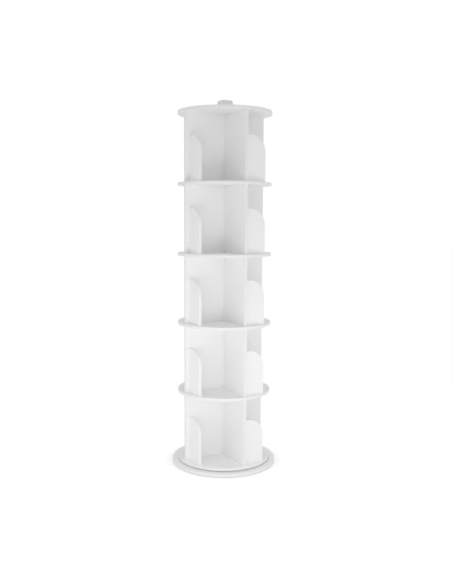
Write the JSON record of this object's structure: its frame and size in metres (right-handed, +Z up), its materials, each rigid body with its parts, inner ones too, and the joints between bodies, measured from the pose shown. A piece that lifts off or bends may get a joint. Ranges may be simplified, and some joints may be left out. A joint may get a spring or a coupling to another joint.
{
  "type": "revolving bookcase",
  "caption": "Tall round revolving bookcase with stacked open tiers, pinwheel cross walls, low rounded dividers, a fixed base disc with a ball bearing and a lobed clamping knob on top.",
  "frame": {"origin": "centre of the round base, on the floor under its glide pads", "axes": "+Z up along the tower's turning axis; +X and +Y along two of the cross walls at rest"},
  "size_m": [0.4549, 0.455, 1.58],
  "materials": {
    "white_board": "white satin lacquer on fibreboard, edges lacquered too",
    "knob_plastic": "moulded white plastic, fine satin",
    "pad_rubber": "grey glide pads",
    "ring_aluminium": "mill-finish aluminium, turned",
    "ball_steel": "polished bearing steel",
    "cage_plastic": "black nylon",
    "rod_steel": "zinc plated steel"
  },
  "bodies": {
    "base": {"base_board": "white_board", "base_pads": "pad_rubber", "bearing_inner_ring": "ring_aluminium"},
    "ball_cage": {"bearing_cage": "cage_plastic", "bearing_balls": "ball_steel"},
    "tower": {"bearing_outer_ring": "ring_aluminium", "bottom_disc": "white_board", "top_disc": "white_board", "tie_rod": "rod_steel", "tie_rod_nut": "rod_steel", "knob": "knob_plastic", "shelf_disc_1": "white_board", "shelf_disc_2": "white_board", "shelf_disc_3": "white_board", "shelf_disc_4": "white_board", "tier_1_wall_1": "white_board", "tier_1_divider_1": "white_board", "tier_1_wall_2": "white_board", "tier_1_divider_2": "white_board", "tier_1_wall_3": "white_board", "tier_1_divider_3": "white_board", "tier_1_wall_4": "white_board", "tier_1_divider_4": "white_board", "tier_2_wall_1": "white_board", "tier_2_divider_1": "white_board", "tier_2_wall_2": "white_board", "tier_2_divider_2": "white_board", "tier_2_wall_3": "white_board", "tier_2_divider_3": "white_board", "tier_2_wall_4": "white_board", "tier_2_divider_4": "white_board", "tier_3_wall_1": "white_board", "tier_3_divider_1": "white_board", "tier_3_wall_2": "white_board", "tier_3_divider_2": "white_board", "tier_3_wall_3": "white_board", "tier_3_divider_3": "white_board", "tier_3_wall_4": "white_board", "tier_3_divider_4": "white_board", "tier_4_wall_1": "white_board", "tier_4_divider_1": "white_board", "tier_4_wall_2": "white_board", "tier_4_divider_2": "white_board", "tier_4_wall_3": "white_board", "tier_4_divider_3": "white_board", "tier_4_wall_4": "white_board", "tier_4_divider_4": "white_board", "tier_5_wall_1": "white_board", "tier_5_divider_1": "white_board", "tier_5_wall_2": "white_board", "tier_5_divider_2": "white_board", "tier_5_wall_3": "white_board", "tier_5_divider_3": "white_board", "tier_5_wall_4": "white_board", "tier_5_divider_4": "white_board"}
  },
  "joints": [
    {"name": "tower_spin", "type": "hinge", "parent": "base", "child": "tower", "pos_m": [0, 0, 0.0175], "axis": [0, 0, 1], "continuous": true},
    {"name": "cage_spin", "type": "hinge", "parent": "base", "child": "ball_cage", "pos_m": [0, 0, 0.0175], "axis": [0, 0, 1], "continuous": true}
  ],
  "couplings": [
    {"joint": "cage_spin", "follows": "tower_spin", "ratio": 0.5}
  ]
}
